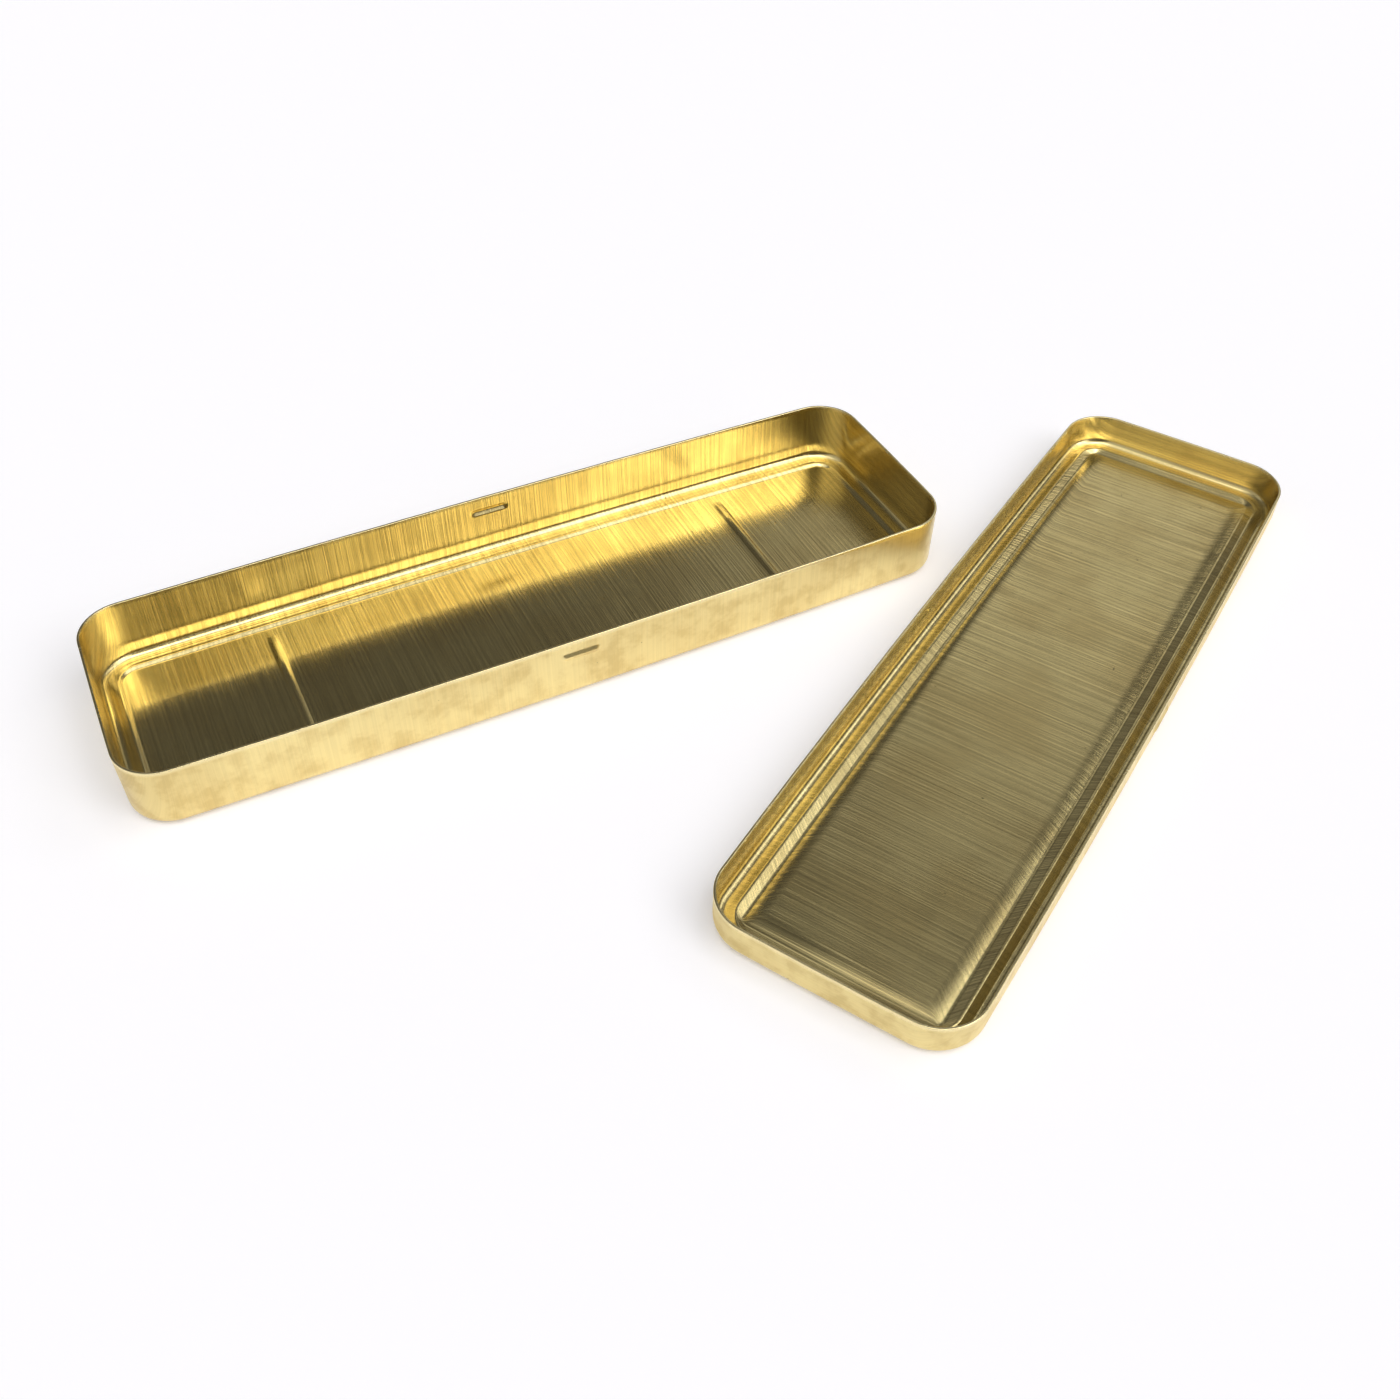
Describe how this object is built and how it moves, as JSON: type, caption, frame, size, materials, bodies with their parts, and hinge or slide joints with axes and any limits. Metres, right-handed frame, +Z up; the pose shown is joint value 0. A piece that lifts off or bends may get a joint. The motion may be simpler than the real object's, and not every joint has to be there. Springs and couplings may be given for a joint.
{
  "type": "pen box",
  "caption": "Slim open pen box of drawn sheet brass, a rounded rectangular tray with a shallower tray that slips over it as its lid.",
  "frame": {"origin": "centre of the base tray's underside, on the table", "axes": "+Z up, out of the open side of both trays; +X along the length of the base tray"},
  "size_m": [0.2431, 0.1456, 0.0138],
  "materials": {
    "base_brass": "satin brushed sheet brass with light tarnish",
    "lid_brass": "satin brushed sheet brass, grain across the width"
  },
  "bodies": {
    "base": {"base_tray": "base_brass"},
    "lid": {"lid_tray": "lid_brass"}
  },
  "joints": [
    {"name": "lid_lift", "type": "slide", "parent": "base", "child": "lid", "axis": [0, 0, 1], "range_m": [0, 0.06]}
  ]
}
